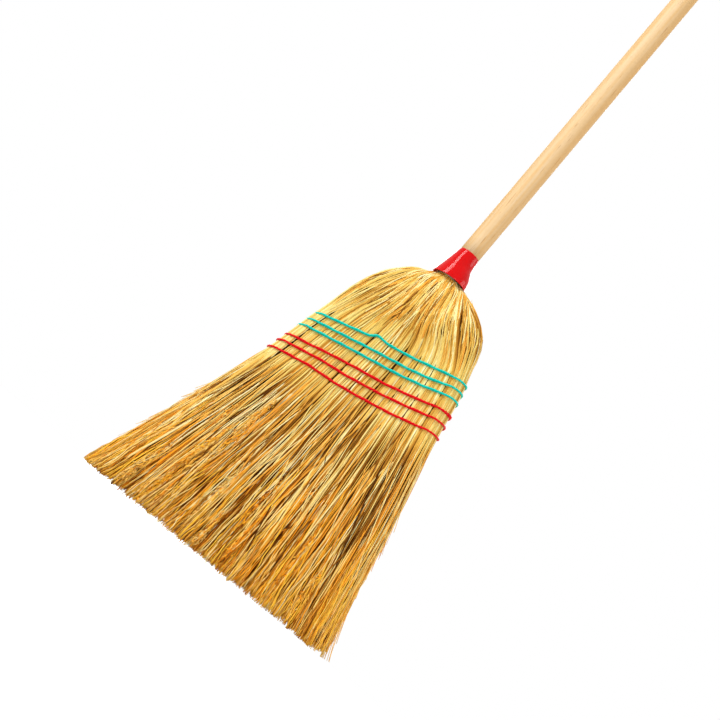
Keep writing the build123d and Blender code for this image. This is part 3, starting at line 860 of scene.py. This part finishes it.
for (bundle_node, fibre_kind), groups in BUNDLES.items():
    bundle = mesh_object(f"{bundle_node}_{fibre_kind}", *joined(groups))
    dress(bundle, STRAW, bundle_node)


# Turned pieces
def full_turn(steps):
    """Even angles once round."""
    return 2 * math.pi * np.arange(steps) / steps


def lathe(name, profiles, closed):
    """A piece from a profile at each angle about the handle. closed joins a profile's two ends."""
    radius, height = np.moveaxis(np.array(profiles), -1, 0)
    turn = full_turn(len(profiles))[:, None]
    rings = np.stack([radius * np.cos(turn), radius * np.sin(turn), height], -1).swapaxes(0, 1)
    index = np.arange(radius.size).reshape(rings.shape[:2])
    if closed:
        index = np.concatenate([index, index[:1]])
    beside = np.roll(index, -1, axis=1)
    quads = np.stack([index[:-1], beside[:-1], beside[1:], index[1:]], -1).reshape(-1, 4)
    caps = np.zeros((0, 3), int) if closed else np.stack([index[0][::-1], index[-1]])
    return mesh_object(name, rings.reshape(-1, 3), quads, caps)


def rounded(corners, steps=5):
    """A profile with each corner (radius, height, fillet) rounded."""
    made = []
    for number, (r, z, fillet) in enumerate(corners):
        here = np.array([r, z])
        before = np.array(corners[number - 1][:2]) - here
        after = np.array(corners[(number + 1) % len(corners)][:2]) - here
        start, end = here + fillet * unit(before), here + fillet * unit(after)
        for t in np.linspace(0, 1, steps) if fillet else [0.0]:
            made.append((1 - t) ** 2 * start + 2 * t * (1 - t) * here + t**2 * end)
    return made


def blending(width):
    """Weights of a smooth average over neighbours."""
    window = np.hanning(width + 2)[1:-1]
    return window / window.sum()


# Collar: straight on the left and bell-shaped on the right, its mouth cut on a slope
COLLAR_TOP = 460.0
COLLAR_BORE = 11.75
COLLAR_GRIP = 446.0
COLLAR_THROAT = 13.5
COLLAR_WALL = 1.3
MOUTH_HEIGHT = 420.2
MOUTH_RISE = math.tan(math.radians(3.8)) * 20.0
BELL_TURN = math.radians(14.6)
SIDE_HEIGHTS = (460.0, 452.0, 446.0, 443.0, 438.5, 432.5, 425.5, 418.0)
STRAIGHT_SIDE = (13.0, 14.4, 15.5, 16.1, 17.0, 18.4, 20.0, 21.7)
BELL_SIDE = (13.0, 13.6, 14.2, 15.0, 17.8, 20.6, 22.0, 22.5)
TOP_FILLET = 0.35
LIP_FILLETS = (0.8, 0.4)
COLLAR_SEGMENTS = 96
COLLAR_RINGS = 41
COLLAR_BLEND = 13


def collar_profile(turn):
    """Rounded profile of the collar at one angle round it."""
    bell = (1 + math.cos(turn - BELL_TURN)) / 2
    sides = [(1 - bell) * a + bell * b for a, b in zip(STRAIGHT_SIDE, BELL_SIDE)]
    lip = MOUTH_HEIGHT + MOUTH_RISE * math.cos(turn)
    heights = np.linspace(COLLAR_TOP, lip, COLLAR_RINGS)
    radii = np.interp(-heights, [-z for z in SIDE_HEIGHTS], sides)
    padded = np.pad(radii, COLLAR_BLEND // 2, "reflect", reflect_type="odd")
    radii = np.convolve(padded, blending(COLLAR_BLEND), "valid")
    return rounded(
        [
            (COLLAR_BORE, COLLAR_TOP, 0.0),
            (radii[0], COLLAR_TOP, TOP_FILLET),
            *((r, z, 0.0) for r, z in zip(radii[2:-2], heights[2:-2])),
            (radii[-1], lip, LIP_FILLETS[0]),
            (radii[-1] - COLLAR_WALL, lip, LIP_FILLETS[1]),
            (COLLAR_THROAT, COLLAR_GRIP, 0.0),
            (COLLAR_BORE, COLLAR_GRIP, 0.0),
        ]
    )[::-1]


collar = lathe("collar_moulding", [collar_profile(turn) for turn in full_turn(COLLAR_SEGMENTS)], closed=True)
dress(collar, COLLAR_PLASTIC, "collar")

# Handle: tapered foot and seat for the collar, as radii and heights, then straight stick and domed top
HANDLE_FOOT = [(0.4, 352.0), (3.3, 352.4), (9.0, 430.0), (11.6, 452.0), (11.6, 459.9), (HANDLE_RADIUS, 460.2)]
STICK_START = 480
STICK_STEPS = 40
HANDLE_TOP = 1400.0
TOP_RADIUS = 0.4
HANDLE_DOME = 9.0
DOME_STEPS = 9
HANDLE_SEGMENTS = 72
stick_heights = np.linspace(STICK_START, HANDLE_TOP - 2 * HANDLE_DOME, STICK_STEPS)
handle_profile = HANDLE_FOOT + [(HANDLE_RADIUS, z) for z in stick_heights]
for lean in np.linspace(0, math.pi / 2, DOME_STEPS):
    dome_radius = HANDLE_RADIUS - HANDLE_DOME * (1 - math.cos(lean))
    handle_profile.append((dome_radius, HANDLE_TOP - HANDLE_DOME * (1 - math.sin(lean))))
handle_profile.append((TOP_RADIUS, HANDLE_TOP))
stick = lathe("handle_stick", [handle_profile] * HANDLE_SEGMENTS, closed=False)
dress(stick, wood_material(), "handle")

# Sewing twine
CORD_RADIUS = 0.95
CORD_PLY_OFFSET = 0.33
CORD_LAY = 9.0
CORD_PROUD = 2.1
CORD_STEPS = 561
RIPPLE = 0.25
RIPPLES = 19
# How far twine is pulled in at the stitch holes and at the left edge, and over what reach
HOLE_PULL = 0.4
HOLE_REACH = 2.5
EDGE_PULL = 1.1
EDGE_PULL_SHARE = 0.85
# How far each row rises off its straight line, by place across the front
ROW_DRIFTS = {
    "teal": (
        {-88: -4.0, -58: -2.8, -31: -1.3, -23: -0.7, -17: 3.0, -13: 3.1, 0: -0.3, 30: -1.2, 60: 0.2, 90: 1.2},
        {-92: -2.9, -10: -2.5, 35: -3.3, 62: -1.8, 90: 2.0},
        {-95: -1.5, -30: -1.8, 30: -2.8, 60: -1.5, 94: 2.2},
    ),
    "red": (
        {-99: -1.6, -74: -2.0, -45: -1.1, -10: -1.3, 25: -2.6, 60: -1.0, 92: 1.8},
        {-102: 1.3, -45: 1.0, -15: -1.5, 30: -2.1, 60: -0.8, 96: 1.8},
        {-105: 2.5, -55: 2.2, -20: -2.0, 10: -3.3, 50: -3.7, 80: -2.0, 100: -0.6},
    ),
}
# Depths and shares across over which the drift ends on the back
DRIFT_END_DEPTHS = (-4, 14)
DRIFT_END_SHARES = (-0.9, -0.6)
# The row whose two plies part at the right edge, at which depth and over what reach
PARTED_ROW = ("red", 0)
PARTED_DEPTH = -6
PARTED_REACH = 9
# Stitches: how proud they lie, and their tails, bends and depth in the holes, each with its height
STITCH_RADIUS = 0.6
STITCH_STEPS = 420
STITCH_PROUD = 1.1
STITCH_TAIL, TAIL_DROP = 7, -0.4
STITCH_BEND, BEND_DROP = 1.8, -1.1
STITCH_DEPTH, DEPTH_DROP = 3.0, -0.8


def row_sizes(height):
    """Half width and lean of the head at a sewn row."""
    top, bottom = np.array(ROWS_TOP), np.array(ROWS_BOTTOM)
    level = Level(*(top + down_rows(height) * (bottom - top)))
    return WIDTH_SHARE * level.half_width, level.lean


def row_line(height, place, proud):
    """Points round the head at a sewn row. place runs once round from the middle of the back."""
    half_width, lean = row_sizes(height)
    flat = half_width - ROWS_TOP.half_depth
    quarter = flat / (4 * flat + 2 * math.pi * ROWS_TOP.half_depth)
    c, angle = around_section(place + quarter, half_width)
    reach = ROWS_TOP.half_depth + proud
    x = c * flat + reach * np.cos(angle)
    return np.stack([x + lean, reach * np.sin(angle), height + ROW_SLOPE * x], -1)


def smoothed(values, width):
    """Values round a closed line, averaged over their neighbours."""
    padded = np.concatenate([values[-width - 1 : -1], values, values[1 : width + 1]])
    return np.convolve(padded, blending(width), "same")[width:-width]


def run_along(points):
    """Length run along a line to each of its points."""
    return np.concatenate([[0], np.cumsum(np.linalg.norm(np.diff(points, axis=0), axis=1))])


def round_tubes(paths, radius, sides):
    """Closed tubes that keep a round section wherever they run."""
    ahead = unit(np.gradient(paths, axis=1))
    up = np.zeros_like(ahead)
    up[..., 2] = 1.0
    up[np.abs(ahead[..., 2]) > 0.9] = (1.0, 0.0, 0.0)
    side = unit(np.cross(ahead, up))
    lift = np.cross(side, ahead)
    turn = full_turn(sides)[:, None]
    points = paths[:, :, None] + radius * (np.cos(turn) * side[:, :, None] + np.sin(turn) * lift[:, :, None])
    return points.reshape(-1, 3), *tube_faces(*points.shape[:3])


def twisted(centre, offset, phase):
    """Two plies twisted round a closed centre line, as tube paths."""
    length = run_along(centre)
    ahead = unit(np.gradient(centre, axis=0))
    side = unit(np.cross(ahead, (0.0, 0.0, 1.0)))
    up = np.cross(side, ahead)
    turns = round(length[-1] / CORD_LAY)
    angle = 2 * math.pi * turns * length / length[-1] + phase
    aside = (offset * np.cos(angle))[:, None] * side + (offset * np.sin(angle))[:, None] * up
    return np.stack([centre + aside, centre - aside])


def twine_band(colour, number, height):
    """Twine laid round the head at one row, pulled in a little at the stitch holes."""
    place = np.linspace(0, 1, CORD_STEPS)
    half_width, lean = row_sizes(height)
    x, y, _ = row_line(height, place, CORD_PROUD).T
    share = (x - lean) / half_width
    hole = (share + 1) / 2 * GROUP_COUNT
    to_hole = np.abs(hole - np.round(hole)) * 2 * half_width / GROUP_COUNT
    on_face = np.abs(y) > ROWS_TOP.half_depth
    pulled = HOLE_PULL * np.exp(-((to_hole / HOLE_REACH) ** 2)) * on_face
    at_edge = smooth_step(EDGE_PULL_SHARE, 1.0, -share)
    line = row_line(height, place, CORD_PROUD - pulled - EDGE_PULL * at_edge)
    on_back = smooth_step(*DRIFT_END_DEPTHS, y) * smooth_step(*DRIFT_END_SHARES, share)
    line[:, 2] += smoothed((1 - on_back) * read_profile(ROW_DRIFTS[colour][number], x), width=5)
    line[:, 2] += RIPPLE * np.sin(2 * math.pi * (RIPPLES * place + rng.uniform())) * on_face
    offset = np.full(CORD_STEPS, CORD_PLY_OFFSET)
    if (colour, number) == PARTED_ROW:
        offset += np.exp(-(((y - PARTED_DEPTH) / PARTED_REACH) ** 2)) * (x > 0)
    plies = twisted(line, offset, rng.uniform(0, 2 * math.pi))
    return mesh_object(f"{colour}_band_{number + 1}_twine", *round_tubes(plies, CORD_RADIUS, sides=8))


def sewing(colour, number, height):
    """Stitches of one row: two threads from hole to hole, over the front and the back in turn."""
    half_width, lean = row_sizes(height)
    holes = half_width * (2 * np.arange(1, GROUP_COUNT) / GROUP_COUNT - 1)
    face = ROWS_TOP.half_depth + STITCH_PROUD
    inside = face - STITCH_DEPTH
    threads = []
    for side in (-1, 1):
        points = [(holes[0] - STITCH_TAIL, side * face, TAIL_DROP)]
        for hole in holes:
            points.append((hole - STITCH_BEND, side * face, BEND_DROP))
            points.append((hole, side * inside, DEPTH_DROP))
            side = -side
            points.append((hole, side * inside, DEPTH_DROP))
            points.append((hole + STITCH_BEND, side * face, BEND_DROP))
        points.append((holes[-1] + STITCH_TAIL, side * face, TAIL_DROP))
        points = np.array(points)
        length = run_along(points)
        fine = np.linspace(0, length[-1], STITCH_STEPS)
        x, y, z = (np.interp(fine, length, places) for places in points.T)
        on_front = 1 - smooth_step(*DRIFT_END_DEPTHS, y)
        z = z + on_front * read_profile(ROW_DRIFTS[colour][number], x + lean) + (height + ROW_SLOPE * x)
        threads.append(np.stack([x + lean, y, z], -1))
    tubes = round_tubes(np.stack(threads), STITCH_RADIUS, sides=6)
    return mesh_object(f"{colour}_sewing_{number + 1}_twine", *tubes)


for row_colour, heights in ROW_HEIGHTS.items():
    for row_number, row_height in enumerate(heights):
        for kind, make in (("band", twine_band), ("sewing", sewing)):
            piece = make(row_colour, row_number, row_height)
            dress(piece, TWINES[row_colour], f"{row_colour}_{kind}_{row_number + 1}")

# Binding wire, close turns round the neck, and its tack
WIRE_RADIUS = 0.65
WIRE_COIL = 15.1
WIRE_START = 420.6
WIRE_PITCH = 1.75
WIRE_TURNS = 4
WIRE_STEPS = 60
wire_turn = np.linspace(0, WIRE_TURNS, WIRE_TURNS * WIRE_STEPS + 1)
wire_angle = math.pi / 2 + 2 * math.pi * wire_turn
wire_x, wire_y = WIRE_COIL * np.cos(wire_angle), WIRE_COIL * np.sin(wire_angle)
wire_path = np.stack([wire_x, wire_y, WIRE_START + WIRE_PITCH * wire_turn], -1)
wire = mesh_object("binding_wire_coil", *round_tubes(wire_path[None], WIRE_RADIUS, sides=10))
dress(wire, STEEL, "binding_wire")
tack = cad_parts["wire_tack"]
tack.data.materials.clear()
tack.data.materials.append(STEEL)

# Camera
camera_data = bpy.data.cameras.new("camera")
camera_data.sensor_width = SENSOR_WIDTH
camera_data.lens = FOCAL_PIXELS / FRAME_PIXELS * SENSOR_WIDTH
camera_data.clip_start = 0.01
camera = new_object("camera", camera_data)
right, up = Vector(CAMERA_RIGHT), Vector(CAMERA_UP)
turned = Matrix((right, up, right.cross(up))).transposed().to_4x4()
camera.matrix_world = Matrix.Translation(CAMERA_PLACE) @ turned
bpy.context.scene.camera = camera

# Floor, background and light
SKY_STRENGTH = 0.34
FLOOR_GLOW = 0.8
FLOOR_COLOUR = (0.6, 0.6, 0.6, 1.0)
FLOOR_HALF = 6.0
FLOOR_DROP = 0.0005


def seen_directly(tree):
    """1 for camera, glossy and transmission rays, and 0 for the others."""
    rays = add_node(tree, "LightPath", {}).outputs
    seen = rays["Is Camera Ray"]
    for kind in ("Is Glossy Ray", "Is Transmission Ray"):
        seen = add_node(tree, "Math", {0: seen, 1: rays[kind]}, operation="MAXIMUM").outputs["Value"]
    return seen


world = bpy.data.worlds.new("studio")
bpy.context.scene.world = world
world.use_nodes = True
sky_tree = world.node_tree
sky_inputs = {"Value": seen_directly(sky_tree), "To Min": SKY_STRENGTH}
sky_strength = add_node(sky_tree, "MapRange", sky_inputs).outputs["Result"]
feed(sky_tree, sky_tree.nodes["Background"], {"Color": (*WHITE, 1.0), "Strength": sky_strength})

floor_mesh = bpy.data.meshes.new("floor")
floor_corners = [(x * FLOOR_HALF, y * FLOOR_HALF, 0.0) for x, y in ((-1, -1), (1, -1), (1, 1), (-1, 1))]
floor_mesh.from_pydata(floor_corners, [], [(0, 1, 2, 3)])
floor = new_object("floor", floor_mesh)
floor.location.z = -FLOOR_DROP
floor_material, floor_tree, floor_shader = node_material("floor_white", roughness=0.9, specular=0.0)
glow_inputs = {0: seen_directly(floor_tree), 1: FLOOR_GLOW}
glow = add_node(floor_tree, "Math", glow_inputs, operation="MULTIPLY").outputs["Value"]
floor_looks = {"Base Color": FLOOR_COLOUR, "Emission Color": (*WHITE, 1.0), "Emission Strength": glow}
feed(floor_tree, floor_shader, floor_looks)
floor.data.materials.append(floor_material)

# White soft lights aimed at the middle of the head
HEAD_MIDDLE = Vector((0.0, 0.0, 0.3))
Lamp = namedtuple("Lamp", "name place size power")
LAMPS = (
    Lamp("key", (-2.0, -2.2, 2.1), (1.2, 2.2), 117.0),
    Lamp("fill", (1.9, -2.2, 0.9), (1.8, 1.8), 32.0),
    Lamp("side", (2.4, 0.5, 0.9), (1.4, 1.8), 26.0),
    Lamp("back", (-0.8, 3.0, 1.6), (2.0, 2.0), 75.0),
)
for lamp in LAMPS:
    lamp_data = bpy.data.lights.new(lamp.name, "AREA")
    lamp_data.shape = "RECTANGLE"
    lamp_data.size, lamp_data.size_y = lamp.size
    lamp_data.energy = lamp.power
    light = new_object(lamp.name, lamp_data)
    light.location = lamp.place
    light.rotation_mode = "QUATERNION"
    light.rotation_quaternion = (HEAD_MIDDLE - Vector(lamp.place)).to_track_quat("-Z", "Y")

bpy.context.scene.view_settings.view_transform = "Standard"
